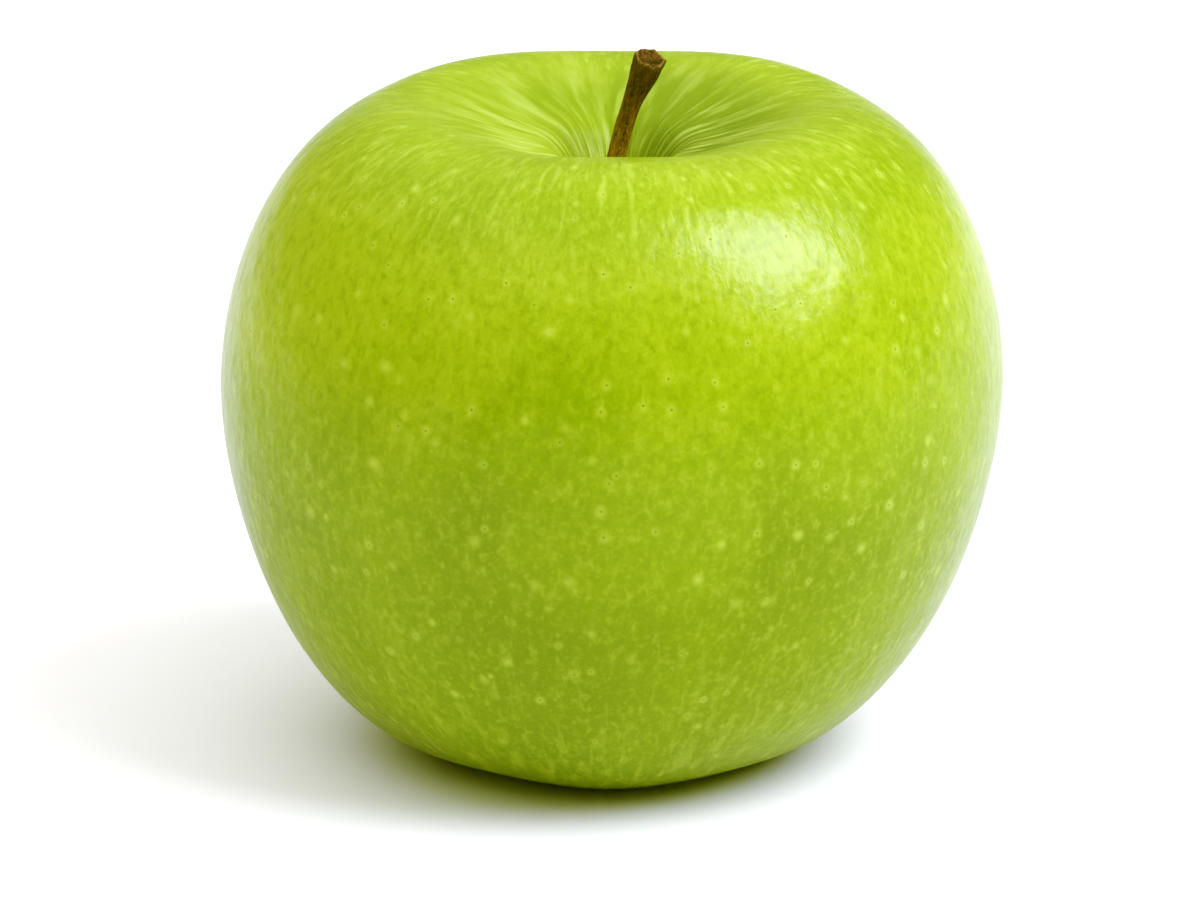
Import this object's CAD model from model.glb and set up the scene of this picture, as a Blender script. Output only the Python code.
import math
import random

import bpy
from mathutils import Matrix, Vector, noise
from mathutils.geometry import interpolate_bezier


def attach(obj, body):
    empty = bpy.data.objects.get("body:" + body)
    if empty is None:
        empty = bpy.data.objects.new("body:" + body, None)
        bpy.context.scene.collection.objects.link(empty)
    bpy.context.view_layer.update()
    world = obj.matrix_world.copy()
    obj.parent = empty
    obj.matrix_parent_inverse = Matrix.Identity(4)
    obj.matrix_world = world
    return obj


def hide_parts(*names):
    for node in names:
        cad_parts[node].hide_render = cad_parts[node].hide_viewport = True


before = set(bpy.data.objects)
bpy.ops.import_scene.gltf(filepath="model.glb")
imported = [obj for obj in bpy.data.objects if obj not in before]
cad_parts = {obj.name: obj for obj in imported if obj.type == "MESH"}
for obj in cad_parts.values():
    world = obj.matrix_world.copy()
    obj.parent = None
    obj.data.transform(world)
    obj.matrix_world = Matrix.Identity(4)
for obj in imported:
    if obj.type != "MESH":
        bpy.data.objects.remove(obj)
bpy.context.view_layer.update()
print("frame loaded")

mm = 0.001
fullTurn = 2 * math.pi


def addNode(tree, kind, **settings):
    node = tree.nodes.new(kind)
    for name, value in settings.items():
        setattr(node, name, value)
    return node


def feed(tree, socket, value):
    if isinstance(value, bpy.types.NodeSocket):
        tree.links.new(value, socket)
    else:
        socket.default_value = value


def calc(tree, operation, *values, clamp=False):
    node = addNode(tree, "ShaderNodeMath", operation=operation, use_clamp=clamp)
    for socket, value in zip(node.inputs, values):
        feed(tree, socket, value)
    return node.outputs[0]


def times(tree, first, *others):
    result = first
    for value in others:
        result = calc(tree, "MULTIPLY", result, value)
    return result


def plus(tree, first, *others):
    result = first
    for value in others:
        result = calc(tree, "ADD", result, value)
    return result


def minus(tree, first, second):
    return calc(tree, "SUBTRACT", first, second)


def vectorCalc(tree, operation, *values):
    node = addNode(tree, "ShaderNodeVectorMath", operation=operation)
    for socket, value in zip(node.inputs, values):
        feed(tree, socket, value)
    return node.outputs["Value" if operation in ("LENGTH", "DOT_PRODUCT") else "Vector"]


def scaled(tree, vector, factor):
    node = addNode(tree, "ShaderNodeVectorMath", operation="SCALE")
    feed(tree, node.inputs[0], vector)
    feed(tree, node.inputs["Scale"], factor)
    return node.outputs["Vector"]


def combine(tree, x, y, z):
    node = addNode(tree, "ShaderNodeCombineXYZ")
    for socket, value in zip(node.inputs, (x, y, z)):
        feed(tree, socket, value)
    return node.outputs[0]


def split(tree, vector):
    node = addNode(tree, "ShaderNodeSeparateXYZ")
    feed(tree, node.inputs[0], vector)
    return node.outputs


# Takes a value from low..high to newLow..newHigh along a smooth step, and holds it at the ends.
def remap(tree, value, low, high, newLow=0.0, newHigh=1.0):
    node = addNode(tree, "ShaderNodeMapRange", interpolation_type="SMOOTHSTEP")
    for socket, number in zip(node.inputs, (value, low, high, newLow, newHigh)):
        feed(tree, socket, number)
    return node.outputs[0]


def noiseAt(tree, place, scale, detail=2.0, roughness=0.5, distortion=0.0):
    node = addNode(tree, "ShaderNodeTexNoise")
    feed(tree, node.inputs["Vector"], place)
    feed(tree, node.inputs["Scale"], scale)
    feed(tree, node.inputs["Detail"], detail)
    feed(tree, node.inputs["Roughness"], roughness)
    feed(tree, node.inputs["Distortion"], distortion)
    return node.outputs[0]


def mixColour(tree, share, first, second):
    node = addNode(tree, "ShaderNodeMix", data_type="RGBA")
    feed(tree, node.inputs["Factor"], share)
    feed(tree, node.inputs["A"], first)
    feed(tree, node.inputs["B"], second)
    return node.outputs["Result"]


def startGroup(name, kind, inputs, outputs):
    tree = bpy.data.node_groups.new(name, kind)
    for label, (socketType, value) in inputs.items():
        socket = tree.interface.new_socket(name=label, in_out="INPUT", socket_type=socketType)
        if value is not None:
            socket.default_value = value
    for label, socketType in outputs.items():
        tree.interface.new_socket(name=label, in_out="OUTPUT", socket_type=socketType)
    start = tree.nodes.new("NodeGroupInput")
    end = tree.nodes.new("NodeGroupOutput")
    return tree, start.outputs, end.inputs


def placeGroup(tree, group, values):
    node = addNode(tree, "ShaderNodeGroup", node_tree=group)
    for name, value in values.items():
        feed(tree, node.inputs[name], value)
    return node.outputs


def startMaterial(name):
    material = bpy.data.materials.new(name)
    material.use_nodes = True
    tree = material.node_tree
    tree.nodes.clear()
    shader = tree.nodes.new("ShaderNodeBsdfPrincipled")
    output = tree.nodes.new("ShaderNodeOutputMaterial")
    tree.links.new(shader.outputs[0], output.inputs["Surface"])
    return material, tree, shader


def readAttribute(tree, name):
    return addNode(tree, "ShaderNodeAttribute", attribute_name=name)


def addBump(tree, shader, height, depth):
    bump = tree.nodes.new("ShaderNodeBump")
    bump.inputs["Distance"].default_value = depth
    feed(tree, bump.inputs["Height"], height)
    tree.links.new(bump.outputs["Normal"], shader.inputs["Normal"])


fruit = {
    "radius": 39 * mm,
    "equatorHeight": 38.3 * mm,
    "crownRadius": 20.6 * mm,
    "crownHeight": 67 * mm,
    "lipRadius": 8.5 * mm,        # where the stem cavity turns from a slope into a steep wall
    "lipHeight": 63.9 * mm,
    "lipSlope": 0.27,
    "restRadius": 12.5 * mm,      # the ring that it stands on
    "basinHeight": 8.2 * mm,
    "cavityRadius": 1.55 * mm,    # where the stem grows out
    "cavityHeight": 51.95 * mm,
    "basinSpread": 8 * mm,        # from here, how far the outline runs straight on at its turns
    "restDip": 6 * mm,
    "restSpread": 19.2 * mm,
    "flankFall": 12.4 * mm,
    "flankRise": 10.6 * mm,
    "crownSpread": 12.8 * mm,
    "crownDip": 3.5 * mm,
    "lipSpread": 5 * mm,
    "lipDrop": 3 * mm,
    "cavityFlare": 2.2 * mm,
    "cavityRise": 8 * mm,
    "cavityDish": 0.8 * mm,       # how far its floor is rounded down under the stem
    "oval": 0.7 * mm,             # added to the radius along X and taken off along Y
    "lean": 0.0145,               # sideways shift of the axis for each unit of height
    "lobes": 5,
    "crownLobe": 0.3 * mm,
    "baseLobe": 0.3 * mm,
    "lipDip": 0.4 * mm,           # how much lower the cavity's edge is at the front
    "broadUnevenness": 0.5 * mm,
    "fineUnevenness": 0.12 * mm,
    "foldDepth": 0.35 * mm,       # radial folds in the stem cavity and the basin
    "facesAround": 300,
    "facesAlong": 220,
}


# Half of the fruit's section, from the floor of the basin round to the floor of the stem cavity.
def makeFruitOutline():
    f = fruit
    dishHeight = f["cavityHeight"] - f["cavityDish"]
    turns = [  # place, handle on the basin's side, handle on the stem's side
        ((0, f["basinHeight"]), (0, f["basinHeight"]), (f["basinSpread"], f["basinHeight"])),
        (
            (f["restRadius"], 0),
            (f["restRadius"] - f["restDip"], 0),
            (f["restRadius"] + f["restSpread"], 0),
        ),
        (
            (f["radius"], f["equatorHeight"]),
            (f["radius"], f["equatorHeight"] - f["flankFall"]),
            (f["radius"], f["equatorHeight"] + f["flankRise"]),
        ),
        (
            (f["crownRadius"], f["crownHeight"]),
            (f["crownRadius"] + f["crownSpread"], f["crownHeight"]),
            (f["crownRadius"] - f["crownDip"], f["crownHeight"]),
        ),
        (
            (f["lipRadius"], f["lipHeight"]),
            (f["lipRadius"] + f["lipSpread"], f["lipHeight"] + f["lipSpread"] * f["lipSlope"]),
            (f["lipRadius"] - f["lipDrop"], f["lipHeight"] - f["lipDrop"] * f["lipSlope"]),
        ),
        (
            (f["cavityRadius"], f["cavityHeight"]),
            (f["cavityRadius"] + f["cavityFlare"], f["cavityHeight"] + f["cavityRise"]),
            (f["cavityRadius"] * 0.8, f["cavityHeight"] - f["cavityDish"] * 0.75),
        ),
        ((0, dishHeight), (f["cavityRadius"] * 0.4, dishHeight), (0, dishHeight)),
    ]
    curve = bpy.data.curves.new("fruitOutline", "CURVE")
    curve.dimensions = "3D"
    curve.resolution_u = 48
    spline = curve.splines.new("BEZIER")
    spline.bezier_points.add(len(turns) - 1)
    for point, (place, before, after) in zip(spline.bezier_points, turns):
        point.handle_left_type = "FREE"
        point.handle_right_type = "FREE"
        point.co = (place[0], 0, place[1])
        point.handle_left = (before[0], 0, before[1])
        point.handle_right = (after[0], 0, after[1])
    outline = bpy.data.objects.new("fruitOutline", curve)
    bpy.context.scene.collection.objects.link(outline)
    return outline


def buildFruitTree():
    sizes = ("Radius", "Equator Height", "Crown Height", "Rest Radius", "Oval", "Lean", "Lobes",
             "Crown Lobe", "Base Lobe", "Lip Dip", "Broad Unevenness", "Fine Unevenness", "Fold Depth")
    inputs = {"Outline": ("NodeSocketObject", None), "Skin": ("NodeSocketMaterial", None)}
    inputs.update({name: ("NodeSocketFloat", 0.0) for name in sizes})
    inputs.update({name: ("NodeSocketInt", 10) for name in ("Faces Around", "Faces Along")})
    outputs = {"Fruit": "NodeSocketGeometry"}
    tree, given, result = startGroup("fruitShape", "GeometryNodeTree", inputs, outputs)
    tree.is_modifier = True

    # A flat grid: its X runs round the fruit with the join at the back, its Y runs up the skin.
    grid = tree.nodes.new("GeometryNodeMeshGrid")
    feed(tree, grid.inputs["Vertices X"], plus(tree, given["Faces Around"], 1))
    feed(tree, grid.inputs["Vertices Y"], plus(tree, given["Faces Along"], 1))
    gridPlace = split(tree, tree.nodes.new("GeometryNodeInputPosition").outputs[0])
    angle = times(tree, gridPlace[0], fullTurn)
    along = plus(tree, gridPlace[1], 0.5)
    sine = calc(tree, "SINE", angle)
    cosine = calc(tree, "COSINE", angle)

    outline = addNode(tree, "GeometryNodeObjectInfo", transform_space="ORIGINAL")
    feed(tree, outline.inputs["Object"], given["Outline"])
    sample = addNode(tree, "GeometryNodeSampleCurve", mode="FACTOR", use_all_curves=True)
    feed(tree, sample.inputs["Curves"], outline.outputs["Geometry"])
    feed(tree, sample.inputs["Factor"], along)
    section = split(tree, sample.outputs["Position"])
    radius, height = section[0], section[2]
    outlineLength = tree.nodes.new("GeometryNodeCurveLength")
    feed(tree, outlineLength.inputs[0], outline.outputs["Geometry"])

    # Faint lobes swell away from the middle of the fruit.
    middle = given["Equator Height"]
    above = minus(tree, height, middle)
    crownShare = calc(tree, "DIVIDE", above, minus(tree, given["Crown Height"], middle), clamp=True)
    baseShare = calc(tree, "DIVIDE", times(tree, above, -1.0), middle, clamp=True)
    crownSwell = times(tree, given["Crown Lobe"], calc(tree, "POWER", crownShare, 2.0))
    baseSwell = times(tree, given["Base Lobe"], calc(tree, "POWER", baseShare, 8.0))
    lobeWave = calc(tree, "COSINE", times(tree, angle, given["Lobes"]))
    nearAxis = calc(tree, "DIVIDE", radius, given["Rest Radius"], clamp=True)
    lobeSwell = times(tree, plus(tree, crownSwell, baseSwell), lobeWave, nearAxis)

    # Radial folds where the skin draws in to the stem and, deeper, to the basin.
    drawnIn = times(tree, remap(tree, radius, 17 * mm, 7 * mm), remap(tree, radius, 1.2 * mm, 3 * mm))
    inBasin = times(tree, remap(tree, radius, 11.5 * mm, 6 * mm), remap(tree, height, 20 * mm, 10 * mm))
    foldShare = times(tree, drawnIn, plus(tree, times(tree, inBasin, 3.0), 1.0))
    foldPlace = combine(tree, sine, cosine, times(tree, above, 6.0))
    fold = minus(tree, noiseAt(tree, foldPlace, 3.4, 2.0, 0.6), 0.5)
    foldSwell = times(tree, fold, foldShare, given["Fold Depth"])

    # Gentle unevenness of a grown thing.
    roundPlace = combine(tree, times(tree, radius, sine), times(tree, radius, cosine), height)
    broad = minus(tree, noiseAt(tree, roundPlace, 27.0, 1.0), 0.5)
    fine = minus(tree, noiseAt(tree, roundPlace, 95.0, 2.0), 0.5)
    unevenness = plus(
        tree, times(tree, broad, given["Broad Unevenness"]), times(tree, fine, given["Fine Unevenness"]))
    offset = plus(tree, lobeSwell, foldSwell, times(tree, unevenness, nearAxis))
    distance = calc(
        tree, "SQRT", plus(tree, calc(tree, "POWER", radius, 2.0), calc(tree, "POWER", above, 2.0)))
    growth = plus(tree, calc(tree, "DIVIDE", offset, distance), 1.0)

    # The edge of the stem cavity dips at the front.
    onLip = times(tree, remap(tree, radius, 17 * mm, 9 * mm), remap(tree, radius, 2 * mm, 5 * mm))
    onTop = remap(tree, height, 50 * mm, 58 * mm)
    front = calc(tree, "POWER", calc(tree, "MAXIMUM", cosine, 0.0), 2.0)
    dip = times(tree, front, onLip, onTop, given["Lip Dip"])

    ovalShare = calc(tree, "DIVIDE", given["Oval"], given["Radius"])
    wide = times(tree, radius, growth, plus(tree, 1.0, ovalShare))
    deep = times(tree, radius, growth, minus(tree, 1.0, ovalShare))
    grown = calc(tree, "MAXIMUM", plus(tree, middle, times(tree, above, growth)), 0.0)
    finalZ = minus(tree, grown, dip)
    leaning = times(tree, given["Lean"], minus(tree, finalZ, middle))
    finalX = plus(tree, times(tree, wide, sine), leaning)
    finalY = times(tree, deep, cosine, -1.0)

    # The map and the skin's own places are stored while the grid is still flat.
    def store(geometry, name, kind, domain, value):
        node = addNode(tree, "GeometryNodeStoreNamedAttribute", data_type=kind, domain=domain)
        node.inputs["Name"].default_value = name
        feed(tree, node.inputs["Geometry"], geometry)
        feed(tree, node.inputs["Value"], value)
        return node.outputs[0]

    skinRadius = calc(tree, "DIVIDE", given["Radius"], mm)
    skinHeight = calc(tree, "DIVIDE", times(tree, along, outlineLength.outputs[0]), mm)
    skinPlace = combine(tree, times(tree, sine, skinRadius), times(tree, cosine, skinRadius), skinHeight)
    shape = store(grid.outputs["Mesh"], "OFBake", "FLOAT2", "CORNER", grid.outputs["UV Map"])
    shape = store(shape, "skinPlace", "FLOAT_VECTOR", "POINT", skinPlace)
    shape = store(shape, "skinRadius", "FLOAT", "POINT", calc(tree, "DIVIDE", radius, mm))
    move = tree.nodes.new("GeometryNodeSetPosition")
    feed(tree, move.inputs["Geometry"], shape)
    feed(tree, move.inputs["Position"], combine(tree, finalX, finalY, finalZ))
    merge = tree.nodes.new("GeometryNodeMergeByDistance")
    feed(tree, merge.inputs["Geometry"], move.outputs[0])
    merge.inputs["Distance"].default_value = 0.002 * mm
    smooth = tree.nodes.new("GeometryNodeSetShadeSmooth")
    feed(tree, smooth.inputs["Geometry"], merge.outputs[0])
    realize = tree.nodes.new("GeometryNodeRealizeInstances")
    feed(tree, realize.inputs[0], smooth.outputs[0])
    paint = tree.nodes.new("GeometryNodeSetMaterial")
    feed(tree, paint.inputs["Geometry"], realize.outputs[0])
    feed(tree, paint.inputs["Material"], given["Skin"])
    feed(tree, result["Fruit"], paint.outputs[0])
    return tree


# Puts a tree on an empty mesh, gives it its inputs, and returns the result as a plain mesh object.
def growPiece(name, tree, values):
    source = bpy.data.objects.new(name + "Source", bpy.data.meshes.new(name + "Source"))
    bpy.context.scene.collection.objects.link(source)
    modifier = source.modifiers.new("grow", "NODES")
    modifier.node_group = tree
    for item in tree.interface.items_tree:
        if item.in_out == "INPUT" and item.name in values:
            modifier[item.identifier] = values[item.name]
    bpy.context.view_layer.update()
    graph = bpy.context.evaluated_depsgraph_get()
    mesh = bpy.data.meshes.new_from_object(
        source.evaluated_get(graph), preserve_all_data_layers=True, depsgraph=graph)
    mesh.name = name
    piece = bpy.data.objects.new(name, mesh)
    bpy.context.scene.collection.objects.link(piece)
    bpy.data.objects.remove(source)
    return piece


def makeFruit(material):
    outline = makeFruitOutline()
    f = fruit
    piece = growPiece("appleFruit", buildFruitTree(), {
        "Outline": outline,
        "Skin": material,
        "Radius": f["radius"],
        "Equator Height": f["equatorHeight"],
        "Crown Height": f["crownHeight"],
        "Rest Radius": f["restRadius"],
        "Oval": f["oval"],
        "Crown Lobe": f["crownLobe"],
        "Base Lobe": f["baseLobe"],
        "Lip Dip": f["lipDip"],
        "Broad Unevenness": f["broadUnevenness"],
        "Fine Unevenness": f["fineUnevenness"],
        "Fold Depth": f["foldDepth"],
        "Lean": f["lean"],
        "Lobes": float(f["lobes"]),
        "Faces Around": f["facesAround"],
        "Faces Along": f["facesAlong"],
    })
    bpy.data.objects.remove(outline)
    return piece


skin = {
    "deep": (0.145, 0.236, 0.004, 1),
    "fresh": (0.204, 0.312, 0.008, 1),
    "sunny": (0.312, 0.415, 0.030, 1),
    "pale": (0.43, 0.53, 0.10, 1),
    "halo": (0.46, 0.565, 0.12, 1),
    "streak": (0.44, 0.55, 0.15, 1),
    "shade": (0.085, 0.155, 0.002, 1),
    "dot": (0.11, 0.13, 0.015, 1),
    "russet": (0.25, 0.24, 0.05, 1),
    "poreSpacing": 3.2,       # in millimetres, as all sizes on the skin
    "haloRadius": 1.1,
    "dotRadius": 0.22,
    "cloudDensity": 0.05,     # marks to the millimetre, from the broadest to the finest
    "streakDensity": 0.26,
    "smearDensity": 0.78,
    "mottleDensity": 1.05,
    "speckDensity": 2.3,
    "roughness": 0.31,
    "specular": 0.42,
}


# Pale round pores scattered over the skin, some with a dark middle.
# Places are in millimetres on the skin.
def buildPoreGroup():
    inputs = {
        "Place": ("NodeSocketVector", None),
        "Spacing": ("NodeSocketFloat", 3.0),
        "Halo Radius": ("NodeSocketFloat", 0.6),
        "Dot Radius": ("NodeSocketFloat", 0.15),
        "Depth": ("NodeSocketFloat", 0.8),
    }
    outputs = {"Halo": "NodeSocketFloat", "Dot": "NodeSocketFloat"}
    tree, given, result = startGroup("skinPores", "ShaderNodeTree", inputs, outputs)
    cells = addNode(tree, "ShaderNodeTexVoronoi", voronoi_dimensions="3D", feature="F1")
    feed(tree, cells.inputs["Vector"], given["Place"])
    feed(tree, cells.inputs["Scale"], calc(tree, "DIVIDE", 1.0, given["Spacing"]))
    cells.inputs["Randomness"].default_value = 0.9
    flatPlace = vectorCalc(tree, "MULTIPLY", given["Place"], (1, 1, 0))
    outward = vectorCalc(tree, "NORMALIZE", flatPlace)
    away = vectorCalc(tree, "SUBTRACT", given["Place"], cells.outputs["Position"])
    sunk = vectorCalc(tree, "DOT_PRODUCT", away, outward)
    across = vectorCalc(tree, "LENGTH", vectorCalc(tree, "SUBTRACT", away, scaled(tree, outward, sunk)))
    depth = calc(tree, "ABSOLUTE", sunk)
    kept = remap(tree, depth, given["Depth"], times(tree, given["Depth"], 0.5))
    chance = split(tree, cells.outputs["Color"])
    size = plus(tree, times(tree, chance[0], 0.55), 0.65)
    reach = times(tree, given["Halo Radius"], size)
    halo = calc(tree, "POWER", remap(tree, across, reach, 0.0), 1.5)
    strength = plus(tree, times(tree, chance[1], 0.45), 0.55)
    feed(tree, result["Halo"], times(tree, halo, kept, strength))
    dot = remap(tree, across, given["Dot Radius"], 0.0)
    marked = calc(tree, "GREATER_THAN", chance[2], 0.45)
    feed(tree, result["Dot"], times(tree, dot, kept, marked))
    return tree


def makeSkin():
    material, tree, shader = startMaterial("appleSkin")
    s = skin
    objectPlace = tree.nodes.new("ShaderNodeTexCoord").outputs["Object"]
    place = scaled(tree, objectPlace, 1 / mm)
    skinPlace = readAttribute(tree, "skinPlace").outputs["Vector"]
    ringRadius = readAttribute(tree, "skinRadius").outputs["Fac"]
    sideways, depth, height = split(tree, place)
    topSide = remap(tree, height, 36.0, 48.0)
    underSide = minus(tree, 1.0, topSide)
    openSkin = remap(tree, ringRadius, 9.0, 25.0)

    # Broad colour: soft clouds of deeper green and of sunnier yellow-green, sunnier on the shoulders.
    clouds = noiseAt(tree, place, s["cloudDensity"], 3.0, 0.5, 0.4)
    shoulder = times(tree, remap(tree, height, 26.0, 58.0), remap(tree, height, 66.0, 58.0, 0.5, 1.0))
    sunShare = plus(tree, times(tree, shoulder, 0.55), times(tree, clouds, 0.8))
    colour = mixColour(tree, remap(tree, sunShare, 0.3, 0.65), s["deep"], s["fresh"])
    colour = mixColour(tree, remap(tree, sunShare, 0.6, 1.05), colour, s["sunny"])

    # Fine mottling, a little longer up and down the fruit than across.
    mottlePlace = vectorCalc(tree, "MULTIPLY", skinPlace, (1.0, 1.0, 0.75))
    mottle = noiseAt(tree, mottlePlace, s["mottleDensity"], 3.0, 0.55, 0.3)
    paleShare = times(tree, remap(tree, mottle, 0.48, 0.76, 0.0, 0.28), openSkin)
    colour = mixColour(tree, paleShare, colour, s["pale"])
    deepShare = times(tree, remap(tree, mottle, 0.54, 0.26, 0.0, 0.42), openSkin)
    colour = mixColour(tree, deepShare, colour, s["deep"])
    specks = noiseAt(tree, skinPlace, s["speckDensity"], 2.0, 0.5)
    speckShare = times(tree, remap(tree, specks, 0.5, 0.75, 0.0, 0.16), openSkin)
    colour = mixColour(tree, speckShare, colour, s["pale"])

    # Pale smears over the shoulders, denser towards the stem cavity.
    smearPlace = vectorCalc(tree, "MULTIPLY", skinPlace, (1.0, 1.0, 0.3))
    smears = noiseAt(tree, smearPlace, s["smearDensity"], 2.0, 0.5, 0.3)
    nearStem = remap(tree, ringRadius, 38.0, 24.0, 0.08, 0.38)
    colour = mixColour(
        tree, times(tree, remap(tree, smears, 0.5, 0.7), nearStem, openSkin), colour, s["pale"])

    # The stem cavity: deeper on its right and far walls, paler on its left one, streaked all round.
    inCavity = times(tree, remap(tree, ringRadius, 22.0, 10.0), topSide)
    onWall = remap(tree, ringRadius, 20.0, 10.0)
    rightWall = times(tree, remap(tree, sideways, -2.0, 5.0, 0.12, 1.0), onWall, topSide)
    colour = mixColour(tree, times(tree, rightWall, 0.85), colour, s["shade"])
    leftWall = times(
        tree, remap(tree, sideways, 0.0, -9.0), remap(tree, ringRadius, 20.0, 9.0), topSide)
    colour = mixColour(tree, times(tree, leftWall, 0.3), colour, s["pale"])
    farWall = times(tree, remap(tree, depth, 0.0, 12.0), onWall, topSide)
    colour = mixColour(tree, times(tree, farWall, 0.75), colour, s["deep"])
    streakPlace = vectorCalc(tree, "MULTIPLY", skinPlace, (1.0, 1.0, 0.5))
    streaks = noiseAt(tree, streakPlace, s["streakDensity"], 2.0, 0.5, 0.35)
    nearWall = minus(tree, 1.0, times(tree, farWall, 0.5))
    paleStreaks = times(tree, remap(tree, streaks, 0.42, 0.74), inCavity, nearWall, 0.72)
    colour = mixColour(tree, paleStreaks, colour, s["streak"])
    deepStreaks = times(tree, remap(tree, streaks, 0.52, 0.26), inCavity, 0.55)
    colour = mixColour(tree, deepStreaks, colour, s["deep"])

    # Pores: large ones with a halo and often a dark middle, small plain ones, mostly low down.
    largePores = placeGroup(tree, poreGroup, {
        "Place": skinPlace,
        "Spacing": s["poreSpacing"],
        "Halo Radius": s["haloRadius"],
        "Dot Radius": s["dotRadius"],
    })
    smallPores = placeGroup(tree, poreGroup, {
        "Place": skinPlace,
        "Spacing": s["poreSpacing"] * 0.5,
        "Halo Radius": s["haloRadius"] * 0.55,
        "Dot Radius": 0.01,
        "Depth": 0.45,
    })
    lowShare = remap(tree, height, 45.0, 12.0, 0.45, 1.0)
    colour = mixColour(
        tree, times(tree, smallPores["Halo"], lowShare, openSkin, 0.3), colour, s["pale"])
    colour = mixColour(tree, times(tree, largePores["Halo"], openSkin, 0.65), colour, s["halo"])
    colour = mixColour(tree, times(tree, largePores["Dot"], openSkin, 0.75), colour, s["dot"])

    # A touch of russet round the foot of the stem, and a paler, scurfy basin.
    russet = times(tree, remap(tree, ringRadius, 4.5, 1.5), topSide)
    colour = mixColour(tree, times(tree, russet, 0.7), colour, s["russet"])
    basin = times(tree, remap(tree, ringRadius, 12.0, 5.0), underSide)
    basinStreaks = times(tree, basin, remap(tree, streaks, 0.35, 0.7, 0.15, 0.75))
    colour = mixColour(tree, basinStreaks, colour, s["streak"])
    basinFloor = times(tree, remap(tree, ringRadius, 6.5, 2.5), underSide)
    scurf = times(tree, basinFloor, remap(tree, specks, 0.35, 0.6, 0.2, 0.8))
    colour = mixColour(tree, scurf, colour, s["russet"])
    feed(tree, shader.inputs["Base Color"], colour)

    # The wax is duller on the halos and inside the cavity.
    wax = times(tree, noiseAt(tree, place, 0.5, 3.0, 0.6), 0.1)
    roughness = plus(tree, s["roughness"] - 0.05, wax, times(tree, largePores["Halo"], 0.12))
    inside = times(tree, remap(tree, ringRadius, 20.0, 9.0), topSide, 0.15)
    feed(tree, shader.inputs["Roughness"], plus(tree, roughness, inside))
    shader.inputs["Specular IOR Level"].default_value = s["specular"]

    # Relief in millimetres.
    fineLift = plus(
        tree,
        times(tree, smears, 0.05),
        times(tree, mottle, 0.045),
        times(tree, specks, 0.018),
        times(tree, largePores["Halo"], 0.015),
        times(tree, largePores["Dot"], -0.03),
    )
    lift = plus(
        tree,
        times(tree, noiseAt(tree, place, 0.28, 2.0, 0.5), 0.22),
        times(tree, fineLift, openSkin),
        times(tree, streaks, inCavity, 0.25),
    )
    addBump(tree, shader, lift, mm)
    return material


poreGroup = buildPoreGroup()
skinMaterial = makeSkin()
fruitPiece = makeFruit(skinMaterial)
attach(fruitPiece, "root")
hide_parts("fruit")
print("fruit grown:", len(fruitPiece.data.polygons), "faces")


stem = {
    "foot": Vector((0.2, 0, 50.4)) * mm,
    "footHandle": Vector((-1.5, 0, 58.0)) * mm,
    "headHandle": Vector((1.2, 0, 64.5)) * mm,
    "head": Vector((3.4, 0, 72.1)) * mm,
    "footRadius": 1.2 * mm,
    "waistRadius": 0.95 * mm,
    "headRadius": 1.58 * mm,
    "flareLength": 6.0 * mm,      # how far below the torn end the stem starts to widen
    "flareShift": 0.42 * mm,      # it widens mostly to one side
    "cutTilt": 0.34,
    "dish": 0.4 * mm,             # how far the torn end is hollow
    "rim": 0.12 * mm,
    "ragged": 0.16 * mm,
    "ringsAlong": 170,
    "pointsAround": 84,
    "capRings": 16,
}


def smoothStep(value, low, high):
    share = min(1.0, max(0.0, (value - low) / (high - low)))
    return share * share * (3 - 2 * share)


def makeMesh(name, points, faces, material):
    mesh = bpy.data.meshes.new(name)
    mesh.from_pydata(points, [], faces)
    mesh.materials.append(material)
    mesh.shade_smooth()
    piece = bpy.data.objects.new(name, mesh)
    bpy.context.scene.collection.objects.link(piece)
    return piece


def storeValues(mesh, name, kind, values):
    attribute = mesh.attributes.new(name, kind, "POINT")
    for item, value in zip(attribute.data, values):
        if kind == "FLOAT_VECTOR":
            item.vector = value
        else:
            item.value = value


# Height of the lengthwise fibres round the stem and along it, as a share of the radius.
def fibreHeight(angle, along):
    ring = Vector((math.cos(angle), math.sin(angle), 0))
    ridges = noise.noise(ring * 2.3 + Vector((0, 0, along * 0.09)))
    fibres = noise.noise(ring * 5.5 + Vector((4, 7, along * 0.22)))
    strands = noise.noise(ring * 13 + Vector((9, 2, along * 0.5)))
    knobs = noise.noise(ring * 1.4 + Vector((3, 5, along * 0.45)))
    return 0.07 * ridges + 0.055 * fibres + 0.03 * strands + 0.05 * knobs


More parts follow.
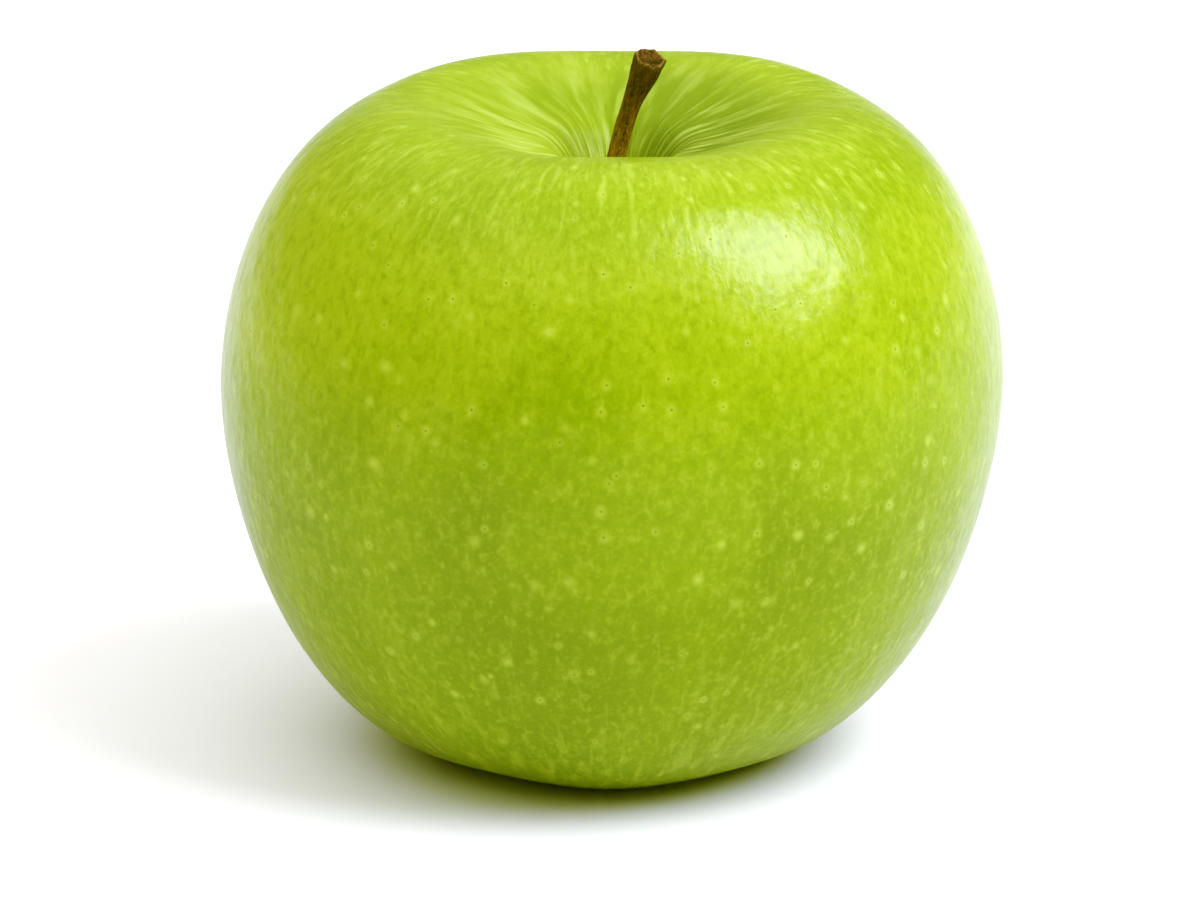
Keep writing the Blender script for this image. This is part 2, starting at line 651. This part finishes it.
def makeStem(material):
    s = stem
    path = interpolate_bezier(s["foot"], s["footHandle"], s["headHandle"], s["head"], s["ringsAlong"])
    distances = [0.0]
    for first, second in zip(path, path[1:]):
        distances.append(distances[-1] + (second - first).length)
    length = distances[-1]
    points, places, cutShares = [], [], []

    def addRing(centre, tangent, distance, radius, flare, cutShare, sink):
        across = Vector((tangent.z, 0, -tangent.x))
        for turn in range(s["pointsAround"]):
            angle = fullTurn * turn / s["pointsAround"]
            rough = 1 + fibreHeight(angle, distance / mm) * (0.8 + 0.9 * flare)
            ragged = noise.noise(Vector((math.cos(angle) * 2.6, math.sin(angle) * 2.6, 5)))
            sideways = math.cos(angle) * radius * rough + flare * s["flareShift"]
            deep = math.sin(angle) * radius * rough
            lift = flare * (deep * s["cutTilt"] + s["ragged"] * ragged * flare) - sink
            if cutShare > 0:
                crumb = noise.noise(Vector((sideways, deep, 0)) / mm * 1.7 + Vector((1, 8, 3)))
                grain = noise.noise(Vector((sideways, deep, 0)) / mm * 4.5)
                lift += (0.12 * crumb + 0.07 * grain) * mm * cutShare
            points.append(centre + across * sideways + Vector((0, deep, 0)) + tangent * lift)
            places.append((math.cos(angle) * radius / mm, math.sin(angle) * radius / mm, distance / mm))
            cutShares.append(cutShare)

    for index, centre in enumerate(path):
        before = path[max(0, index - 1)]
        after = path[min(len(path) - 1, index + 1)]
        tangent = (after - before).normalized()
        distance = distances[index]
        flare = smoothStep(distance, length - s["flareLength"], length)
        footShare = 1 - smoothStep(distance, 0, 5 * mm)
        radius = s["waistRadius"] + (s["footRadius"] - s["waistRadius"]) * footShare
        radius += (s["headRadius"] - s["waistRadius"]) * flare ** 1.3
        addRing(centre, tangent, distance, radius, flare, 0.0, 0.0)
    for ring in range(1, s["capRings"]):
        share = ring / s["capRings"]
        radius = s["headRadius"] * (1 - share)
        sink = s["dish"] * smoothStep(share, 0.1, 0.5) - s["rim"] * smoothStep(share, 0, 0.1)
        addRing(path[-1], tangent, length, radius, 1.0, smoothStep(share, 0.0, 0.15), sink)

    faces = []
    around = s["pointsAround"]
    ringCount = len(points) // around
    for ring in range(ringCount - 1):
        for turn in range(around):
            nextTurn = (turn + 1) % around
            faces.append((
                ring * around + turn,
                ring * around + nextTurn,
                (ring + 1) * around + nextTurn,
                (ring + 1) * around + turn,
            ))
    faces.append(tuple(reversed(range(around))))
    faces.append(tuple(range((ringCount - 1) * around, ringCount * around)))
    piece = makeMesh("appleStem", points, faces, material)
    storeValues(piece.data, "barkPlace", "FLOAT_VECTOR", places)
    storeValues(piece.data, "cutShare", "FLOAT", cutShares)
    return piece


bark = {
    "dark": (0.034, 0.015, 0.010, 1),
    "brown": (0.170, 0.076, 0.036, 1),
    "golden": (0.40, 0.205, 0.072, 1),
    "fleck": (0.70, 0.44, 0.16, 1),
    "cut": (0.17, 0.072, 0.040, 1),
    "cutDark": (0.028, 0.011, 0.008, 1),
    "cutRim": (0.40, 0.24, 0.10, 1),
    "roughness": 0.62,
}


def makeBark():
    material, tree, shader = startMaterial("stemBark")
    place = readAttribute(tree, "barkPlace").outputs["Vector"]
    cutShare = readAttribute(tree, "cutShare").outputs["Fac"]
    along = split(tree, place)[2]
    headShare = remap(tree, along, 8.0, 19.0)
    fibrePlace = vectorCalc(tree, "MULTIPLY", place, (1.0, 1.0, 0.14))
    fibres = noiseAt(tree, fibrePlace, 4.4, 4.0, 0.7)
    wideFibres = noiseAt(tree, fibrePlace, 1.3, 2.0, 0.5)
    lit = mixColour(tree, headShare, bark["golden"], bark["brown"])
    shade = plus(tree, fibres, times(tree, wideFibres, 0.4))
    colour = mixColour(tree, remap(tree, shade, 0.5, 0.86), bark["dark"], lit)
    fleckPlace = vectorCalc(tree, "MULTIPLY", place, (1.0, 1.0, 0.35))
    flecks = noiseAt(tree, fleckPlace, 7.5, 2.0, 0.6)
    fleckShare = remap(tree, headShare, 0.0, 1.0, 0.7, 0.3)
    colour = mixColour(
        tree, times(tree, remap(tree, flecks, 0.53, 0.68), fleckShare), colour, bark["fleck"])
    colour = mixColour(tree, remap(tree, along, 16.0, 20.0, 0.0, 0.55), colour, bark["dark"])

    # The torn end: a crumbly middle inside a paler ragged rim.
    crumbs = noiseAt(tree, place, 2.2, 4.0, 0.7, 0.8)
    cutColour = mixColour(tree, remap(tree, crumbs, 0.42, 0.62), bark["cutDark"], bark["cut"])
    fromMiddle = vectorCalc(tree, "LENGTH", vectorCalc(tree, "MULTIPLY", place, (1, 1, 0)))
    rimShare = times(tree, remap(tree, fromMiddle, 1.2, 1.45), remap(tree, crumbs, 0.38, 0.58))
    cutColour = mixColour(tree, rimShare, cutColour, bark["cutRim"])
    colour = mixColour(tree, cutShare, colour, cutColour)
    feed(tree, shader.inputs["Base Color"], colour)
    roughness = remap(tree, fibres, 0.3, 0.7, bark["roughness"] + 0.15, bark["roughness"] - 0.1)
    feed(tree, shader.inputs["Roughness"], roughness)
    shader.inputs["Specular IOR Level"].default_value = 0.35
    lift = plus(
        tree, times(tree, fibres, 0.2), times(tree, flecks, 0.06), times(tree, crumbs, cutShare, 0.25))
    addBump(tree, shader, lift, mm)
    return material


sepal = {
    "count": 5,
    "foot": Vector((2.9, 0, 7.75)) * mm,      # on the basin's skin
    "bend": Vector((1.5, 0, 5.3)) * mm,
    "tip": Vector((3.9, 0, 3.3)) * mm,
    "width": 2.5 * mm,
    "thickness": 0.34 * mm,
    "stepsAcross": 14,
    "stepsAlong": 30,
}


def axisShift(height):
    return fruit["lean"] * (height - fruit["equatorHeight"])


# One sepal: a ribbed tapering strip, curled in over the basin and out again at its tip.
def makeSepal(index, material):
    s = sepal
    chance = random.Random(30 + index)
    curl = chance.uniform(-0.5, 0.5) * mm
    twist = chance.uniform(-0.35, 0.35)
    reach = chance.uniform(0.85, 1.1)
    turn = (index + 0.5) / s["count"] * fullTurn
    outward = Vector((math.cos(turn), math.sin(turn), 0))
    sideways = Vector((-math.sin(turn), math.cos(turn), 0))
    middle = Vector((axisShift(s["foot"].z), 0, 0))
    tip = Vector((s["tip"].x * reach + curl, 0, s["tip"].z + (1 - reach) * 2 * mm))
    points, places = [], []
    for face in (1, -1):
        for row in range(s["stepsAlong"] + 1):
            along = row / s["stepsAlong"]
            centre = (
                s["foot"] * (1 - along) ** 2
                + s["bend"] * 2 * along * (1 - along)
                + tip * along ** 2
            )
            tangent = ((s["bend"] - s["foot"]) * (1 - along) + (tip - s["bend"]) * along).normalized()
            normal = Vector((-tangent.z, 0, tangent.x))
            taper = (1 - along ** 1.6) * 0.9 + 0.1
            for column in range(s["stepsAcross"] + 1):
                across = column / s["stepsAcross"] * 2 - 1
                edge = 1 - across ** 4
                ribs = 0.06 * mm * math.cos(across * 3 * math.pi) * edge
                wrinkle = 0.12 * mm * noise.noise(Vector((across * 2, along * 5, index * 3.7)))
                cup = (0.45 * across ** 2 + twist * across * along) * mm * taper
                frill = 1 + 0.14 * noise.noise(Vector((along * 7, 3 if across > 0 else 8, index)))
                half = face * s["thickness"] / 2 * (0.25 + 0.75 * edge) * (1 - 0.5 * along)
                flat = centre + normal * (half + ribs + wrinkle - cup)
                wide = across * s["width"] / 2 * taper * frill
                points.append(middle + outward * flat.x + sideways * wide + Vector((0, 0, flat.z)))
                places.append((across * s["width"] / 2 / mm, index * 5.0, along * 6))
    width = s["stepsAcross"] + 1
    height = s["stepsAlong"] + 1
    back = width * height
    faces = []
    for row in range(height - 1):
        for column in range(width - 1):
            a = row * width + column
            faces.append((a, a + width, a + width + 1, a + 1))
            faces.append((back + a, back + a + 1, back + a + width + 1, back + a + width))
    border = list(range(width))
    border += [row * width + width - 1 for row in range(1, height)]
    border += [(height - 1) * width + column for column in range(width - 2, -1, -1)]
    border += [row * width for row in range(height - 2, 0, -1)]
    for a, b in zip(border, border[1:] + border[:1]):
        faces.append((a, b, back + b, back + a))
    piece = makeMesh(f"drySepal{index + 1}", points, faces, material)
    storeValues(piece.data, "leafPlace", "FLOAT_VECTOR", places)
    return piece


driedLeaf = {
    "dark": (0.045, 0.028, 0.012, 1),
    "brown": (0.19, 0.125, 0.060, 1),
    "fuzz": (0.42, 0.36, 0.25, 1),
}


def makeDriedLeaf():
    material, tree, shader = startMaterial("driedSepal")
    place = readAttribute(tree, "leafPlace").outputs["Vector"]
    ribPlace = vectorCalc(tree, "MULTIPLY", place, (1.0, 1.0, 0.25))
    ribs = noiseAt(tree, ribPlace, 2.4, 4.0, 0.6)
    blotches = noiseAt(tree, place, 0.9, 3.0, 0.6)
    shade = plus(tree, times(tree, ribs, 0.7), times(tree, blotches, 0.5))
    colour = mixColour(tree, remap(tree, shade, 0.42, 0.78), driedLeaf["dark"], driedLeaf["brown"])
    fuzz = noiseAt(tree, place, 6.0, 2.0, 0.7)
    tipShare = remap(tree, split(tree, place)[2], 3.5, 6.0, 0.25, 0.8)
    fuzzShare = times(tree, remap(tree, fuzz, 0.5, 0.7), tipShare)
    colour = mixColour(tree, fuzzShare, colour, driedLeaf["fuzz"])
    feed(tree, shader.inputs["Base Color"], colour)
    feed(tree, shader.inputs["Roughness"], remap(tree, ribs, 0.3, 0.7, 0.95, 0.75))
    shader.inputs["Specular IOR Level"].default_value = 0.25
    addBump(tree, shader, times(tree, ribs, 0.15), mm)
    return material


stamens = {
    "count": 17,
    "length": 2.7 * mm,
    "radius": 0.11 * mm,
    "ring": 1.0 * mm,         # they stand within this distance of the middle
    "spread": 0.34,           # how far the outer ones lean outwards
    "turn": 2.4,              # from one to the next round the spiral
    "wobble": 0.16,
    "bossRadius": 1.45 * mm,
    "bossHeight": 0.9 * mm,
    "top": 7.7 * mm,
}


def buildStamenTree():
    inputs = {name: ("NodeSocketFloat", 0.0) for name in
              ("Length", "Radius", "Ring", "Spread", "Boss Radius", "Boss Height", "Top", "Shift")}
    inputs.update({"Count": ("NodeSocketInt", 9), "Seed": ("NodeSocketInt", 0)})
    inputs["Dry"] = ("NodeSocketMaterial", None)
    outputs = {"Tuft": "NodeSocketGeometry"}
    tree, given, result = startGroup("stamenTuft", "GeometryNodeTree", inputs, outputs)
    tree.is_modifier = True

    # One filament hangs down from the boss and carries a small shrivelled anther.
    line = addNode(tree, "GeometryNodeCurvePrimitiveBezierSegment", mode="POSITION")
    line.inputs["Resolution"].default_value = 8
    length = given["Length"]
    lowEnd = combine(tree, 0.0, 0.0, times(tree, length, -1.0))
    bow = times(tree, length, 0.12)
    feed(tree, line.inputs["Start"], (0.0, 0.0, 0.0))
    feed(tree, line.inputs["Start Handle"], combine(tree, bow, 0.0, times(tree, length, -0.35)))
    feed(tree, line.inputs["End Handle"], combine(tree, bow, 0.0, times(tree, length, -0.7)))
    feed(tree, line.inputs["End"], lowEnd)
    ring = tree.nodes.new("GeometryNodeCurvePrimitiveCircle")
    ring.inputs["Resolution"].default_value = 7
    feed(tree, ring.inputs["Radius"], given["Radius"])
    tube = tree.nodes.new("GeometryNodeCurveToMesh")
    feed(tree, tube.inputs["Curve"], line.outputs[0])
    feed(tree, tube.inputs["Profile Curve"], ring.outputs[0])
    tube.inputs["Fill Caps"].default_value = True
    ball = tree.nodes.new("GeometryNodeMeshIcoSphere")
    ball.inputs["Subdivisions"].default_value = 2
    feed(tree, ball.inputs["Radius"], times(tree, given["Radius"], 2.2))
    anther = tree.nodes.new("GeometryNodeTransform")
    feed(tree, anther.inputs["Geometry"], ball.outputs[0])
    feed(tree, anther.inputs["Translation"], lowEnd)
    feed(tree, anther.inputs["Scale"], (1.0, 0.75, 1.6))
    one = tree.nodes.new("GeometryNodeJoinGeometry")
    tree.links.new(tube.outputs[0], one.inputs[0])
    tree.links.new(anther.outputs[0], one.inputs[0])

    # They stand in a sunflower spiral, the outer ones leaning out.
    index = tree.nodes.new("GeometryNodeInputIndex").outputs[0]
    share = calc(tree, "SQRT", calc(tree, "DIVIDE", plus(tree, index, 0.5), given["Count"]))
    turn = times(tree, index, stamens["turn"])
    reach = times(tree, share, given["Ring"])
    foot = combine(
        tree,
        times(tree, reach, calc(tree, "COSINE", turn)),
        times(tree, reach, calc(tree, "SINE", turn)),
        0.0,
    )
    feet = tree.nodes.new("GeometryNodePoints")
    feed(tree, feet.inputs["Count"], given["Count"])
    feed(tree, feet.inputs["Position"], foot)
    wobble = addNode(tree, "FunctionNodeRandomValue", data_type="FLOAT")
    feed(tree, wobble.inputs[2], -stamens["wobble"])
    feed(tree, wobble.inputs[3], stamens["wobble"])
    feed(tree, wobble.inputs["Seed"], given["Seed"])
    tilt = plus(tree, times(tree, share, given["Spread"], -1.0), wobble.outputs[1])
    place = tree.nodes.new("GeometryNodeInstanceOnPoints")
    feed(tree, place.inputs["Points"], feet.outputs[0])
    feed(tree, place.inputs["Instance"], one.outputs[0])
    feed(tree, place.inputs["Rotation"], combine(tree, 0.0, tilt, turn))
    size = addNode(tree, "FunctionNodeRandomValue", data_type="FLOAT")
    feed(tree, size.inputs[2], 0.75)
    feed(tree, size.inputs[3], 1.1)
    feed(tree, size.inputs["Seed"], plus(tree, given["Seed"], 5))
    feed(tree, place.inputs["Scale"], combine(tree, 1.0, 1.0, size.outputs[1]))

    boss = tree.nodes.new("GeometryNodeMeshUVSphere")
    boss.inputs["Segments"].default_value = 28
    boss.inputs["Rings"].default_value = 14
    bossPlace = tree.nodes.new("GeometryNodeTransform")
    feed(tree, bossPlace.inputs["Geometry"], boss.outputs[0])
    bossSize = combine(tree, given["Boss Radius"], given["Boss Radius"], given["Boss Height"])
    feed(tree, bossPlace.inputs["Scale"], bossSize)
    whole = tree.nodes.new("GeometryNodeJoinGeometry")
    tree.links.new(place.outputs[0], whole.inputs[0])
    tree.links.new(bossPlace.outputs[0], whole.inputs[0])
    move = tree.nodes.new("GeometryNodeTransform")
    feed(tree, move.inputs["Geometry"], whole.outputs[0])
    feed(tree, move.inputs["Translation"], combine(tree, given["Shift"], 0.0, given["Top"]))
    realize = tree.nodes.new("GeometryNodeRealizeInstances")
    feed(tree, realize.inputs[0], move.outputs[0])
    smooth = tree.nodes.new("GeometryNodeSetShadeSmooth")
    feed(tree, smooth.inputs["Geometry"], realize.outputs[0])
    paint = tree.nodes.new("GeometryNodeSetMaterial")
    feed(tree, paint.inputs["Geometry"], smooth.outputs[0])
    feed(tree, paint.inputs["Material"], given["Dry"])
    feed(tree, result["Tuft"], paint.outputs[0])
    return tree


def makeStamens(material):
    s = stamens
    return growPiece("dryStamens", buildStamenTree(), {
        "Count": s["count"],
        "Length": s["length"],
        "Radius": s["radius"],
        "Ring": s["ring"],
        "Spread": s["spread"],
        "Boss Radius": s["bossRadius"],
        "Boss Height": s["bossHeight"],
        "Top": s["top"],
        "Shift": axisShift(s["top"]),
        "Seed": 4,
        "Dry": material,
    })


def makeDriedStamen():
    material, tree, shader = startMaterial("driedStamen")
    place = scaled(tree, tree.nodes.new("ShaderNodeTexCoord").outputs["Object"], 1 / mm)
    blotches = noiseAt(tree, place, 2.2, 4.0, 0.7)
    tipShare = remap(tree, split(tree, place)[2], 6.2, 4.8)
    paler = plus(tree, remap(tree, blotches, 0.35, 0.7, 0.0, 0.7), times(tree, tipShare, 0.3))
    colour = mixColour(tree, paler, driedLeaf["dark"], driedLeaf["brown"])
    feed(tree, shader.inputs["Base Color"], colour)
    feed(tree, shader.inputs["Roughness"], remap(tree, blotches, 0.3, 0.7, 0.95, 0.8))
    shader.inputs["Specular IOR Level"].default_value = 0.25
    addBump(tree, shader, times(tree, blotches, 0.1), mm)
    return material


stemPiece = makeStem(makeBark())
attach(stemPiece, "root")
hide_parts("stem")
print("stem made:", len(stemPiece.data.polygons), "faces")

leafMaterial = makeDriedLeaf()
for index in range(sepal["count"]):
    sepalPiece = makeSepal(index, leafMaterial)
    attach(sepalPiece, "root")
    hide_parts(f"sepal_{index + 1}")
print("sepals made:", sepal["count"])

stamenPiece = makeStamens(makeDriedStamen())
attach(stamenPiece, "root")
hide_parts("dried_stamens")
print("stamens made:", len(stamenPiece.data.polygons), "faces")


view = {
    "aim": Vector((-1.2 * mm, -1.0 * mm, 31.0 * mm)),
    "elevation": math.radians(18.5),
    "distance": 0.8,
    "lens": 236.0,
}


def makeCamera():
    data = bpy.data.cameras.new("camera")
    data.lens = view["lens"]
    data.sensor_width = 36
    data.clip_start = 0.01
    camera = bpy.data.objects.new("camera", data)
    bpy.context.scene.collection.objects.link(camera)
    away = Vector((0, -math.cos(view["elevation"]), math.sin(view["elevation"])))
    camera.location = view["aim"] + away * view["distance"]
    camera.rotation_euler = (math.pi / 2 - view["elevation"], 0, 0)
    bpy.context.scene.camera = camera


lights = {
    "keyBox": {
        "direction": Vector((0.61, -0.235, 0.68)),    # from the fruit
        "distance": 2.0,
        "size": (1.15, 1.3),
        "power": 43.5,
        "colour": (0.98, 1.0, 1.17),
    },
    "topBox": {
        "direction": Vector((-0.15, -0.4, 0.9)),
        "distance": 2.0,
        "size": (2.6, 2.0),
        "power": 12.0,
        "colour": (1.0, 1.0, 1.0),
    },
}


def addLight(name, light):
    data = bpy.data.lights.new(name, "AREA")
    data.shape = "RECTANGLE"
    data.size, data.size_y = light["size"]
    data.energy = light["power"]
    data.color = light["colour"]
    lamp = bpy.data.objects.new(name, data)
    bpy.context.scene.collection.objects.link(lamp)
    target = Vector((0, 0, fruit["equatorHeight"]))
    lamp.location = target + light["direction"].normalized() * light["distance"]
    lamp.rotation_euler = (-light["direction"]).to_track_quat("-Z", "Y").to_euler()


studio = {
    "front": 0.1,
    "back": 0.42,
    "above": 1.08,
    "left": 1.3,      # how much of the light from above comes on each side
    "right": 0.66,
    "seen": 0.93,     # the far end of the room, as it shows above the floor
    "colour": (1, 1, 0.97, 1),
}


# The surroundings: a lit backdrop, a softly lit ceiling, brighter to the left, and a dim front.
def makeWorld():
    world = bpy.data.worlds.new("studio")
    bpy.context.scene.world = world
    world.use_nodes = True
    tree = world.node_tree
    tree.nodes.clear()
    x, y, z = split(tree, tree.nodes.new("ShaderNodeTexCoord").outputs["Generated"])
    back = times(tree, remap(tree, y, -0.3, 0.6), studio["back"])
    above = times(tree, remap(tree, z, 0.3, 0.9), studio["above"])
    side = remap(tree, x, -0.7, 0.7, studio["left"], studio["right"])
    light = plus(tree, studio["front"], back, times(tree, above, side))
    strength = addNode(tree, "ShaderNodeMix", data_type="FLOAT")
    seen = tree.nodes.new("ShaderNodeLightPath").outputs["Is Camera Ray"]
    feed(tree, strength.inputs["Factor"], seen)
    feed(tree, strength.inputs["A"], light)
    feed(tree, strength.inputs["B"], studio["seen"])
    background = tree.nodes.new("ShaderNodeBackground")
    feed(tree, background.inputs["Strength"], strength.outputs["Result"])
    background.inputs["Color"].default_value = studio["colour"]
    output = tree.nodes.new("ShaderNodeOutputWorld")
    tree.links.new(background.outputs[0], output.inputs["Surface"])


floorSize = 8.0


def makeFloor():
    half = floorSize / 2
    mesh = bpy.data.meshes.new("floor")
    corners = [(-half, -half, 0), (half, -half, 0), (half, half, 0), (-half, half, 0)]
    mesh.from_pydata(corners, [], [(0, 1, 2, 3)])
    floor = bpy.data.objects.new("floor", mesh)
    bpy.context.scene.collection.objects.link(floor)
    material, _, shader = startMaterial("paleFloor")
    shader.inputs["Base Color"].default_value = (0.93, 0.91, 0.94, 1)
    shader.inputs["Roughness"].default_value = 0.9
    shader.inputs["Specular IOR Level"].default_value = 0.1
    mesh.materials.append(material)


# The blue curve is bent down at its dark end alone: the greens turn cleaner and the floor stays white.
blueCurve = ((0.05, 0.004), (0.1, 0.02), (0.2, 0.1), (0.35, 0.3), (0.5, 0.48))


def gradeColours():
    settings = bpy.context.scene.view_settings
    settings.view_transform = "Standard"
    settings.use_curve_mapping = True
    for given, shown in blueCurve:
        settings.curve_mapping.curves[2].points.new(given, shown)
    settings.curve_mapping.update()


makeCamera()
for lightName, light in lights.items():
    addLight(lightName, light)
makeWorld()
makeFloor()
gradeColours()
print("stage set")
